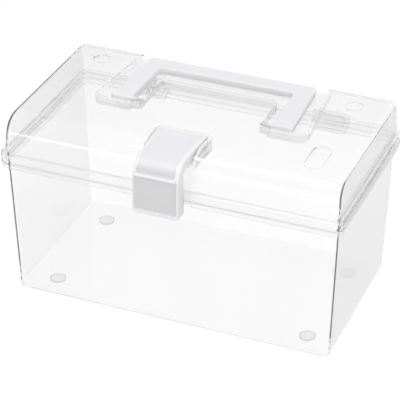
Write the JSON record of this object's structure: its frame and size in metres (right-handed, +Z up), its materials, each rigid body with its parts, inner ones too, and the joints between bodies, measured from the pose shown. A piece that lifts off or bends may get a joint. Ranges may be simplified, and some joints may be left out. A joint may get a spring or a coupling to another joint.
{
  "type": "photo keeper case",
  "caption": "Clear hinged storage case with a carrying handle that folds flush into its lid, a front snap latch that hooks under the rim, and feet that stack into the lid of another.",
  "frame": {"origin": "midway between the four feet, on the surface that they stand on", "axes": "+X along the case to the right as the latch is faced, +Y from the latched front to the hinged back, +Z up"},
  "size_m": [0.223, 0.1485, 0.125],
  "materials": {
    "clear_polypropylene": "glossy, clear with a faint haze",
    "white_polypropylene": "soft gloss, translucent white"
  },
  "bodies": {
    "tub": {"tub": "clear_polypropylene"},
    "lid": {"lid": "clear_polypropylene"},
    "handle": {"handle": "white_polypropylene"},
    "latch": {"latch": "white_polypropylene"}
  },
  "joints": [
    {"name": "lid_hinge", "type": "hinge", "parent": "tub", "child": "lid", "pos_m": [0, 0.0662, 0.096], "axis": [-1, 0, 0], "range_deg": [0, 110]},
    {"name": "latch_hinge", "type": "hinge", "parent": "lid", "child": "latch", "pos_m": [0, -0.035, 0.1196], "axis": [-1, 0, 0], "range_deg": [0, 90]},
    {"name": "handle_hinge", "type": "hinge", "parent": "lid", "child": "handle", "pos_m": [0, -0.00255, 0.12205], "axis": [1, 0, 0], "range_deg": [0, 90]}
  ]
}
